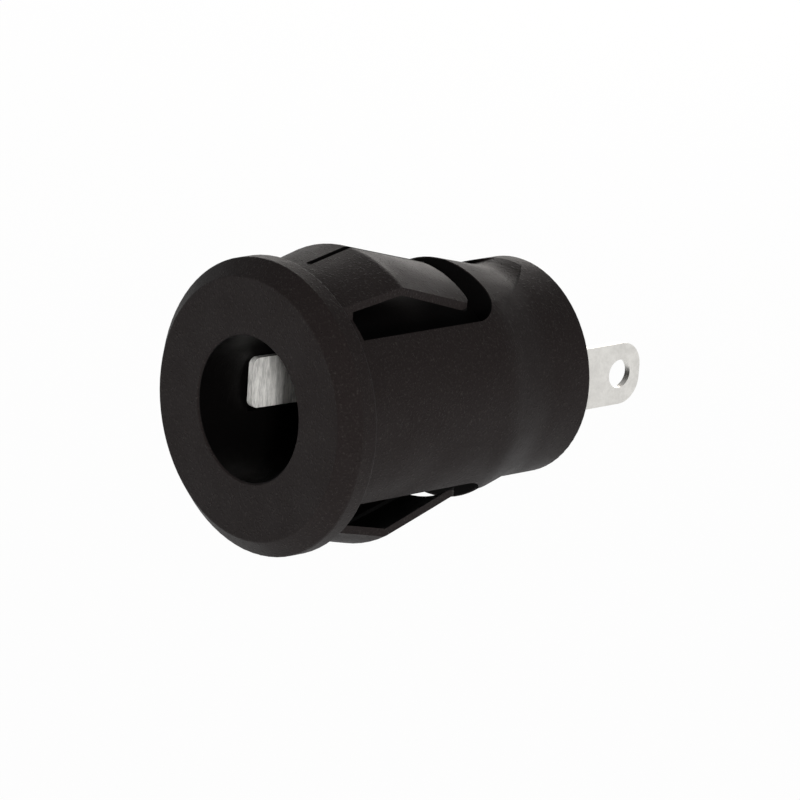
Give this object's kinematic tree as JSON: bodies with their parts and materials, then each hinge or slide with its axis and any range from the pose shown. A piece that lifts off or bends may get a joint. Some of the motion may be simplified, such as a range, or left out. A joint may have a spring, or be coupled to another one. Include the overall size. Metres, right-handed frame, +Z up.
{
  "type": "dc barrel jack",
  "caption": "Black panel-mount barrel jack: flanged round housing with sprung snap latches, a deep plug bore and tinned solder lugs at the rear.",
  "frame": {"origin": "on the plug axis, in the plane of the flange's rear face, where the front of the panel lies", "axes": "+Y along the plug axis from the front face to the rear, the way the plug goes in; +Z up through the upper latch; +X toward the side of the pin's solder lug"},
  "size_m": [0.013, 0.0201, 0.0132],
  "materials": {
    "moulded_plastic": "fine moulded texture",
    "cover_plastic": "smooth moulded",
    "plated_pin": "nickel plated, turned",
    "tinned_strip": "bright tin plate",
    "tinned_spring": "brushed tin plate"
  },
  "bodies": {
    "root": {"housing": "moulded_plastic", "rear_cover": "cover_plastic", "centre_pin": "plated_pin", "pin_terminal": "tinned_strip", "sleeve_contact": "tinned_spring"}
  },
  "joints": []
}
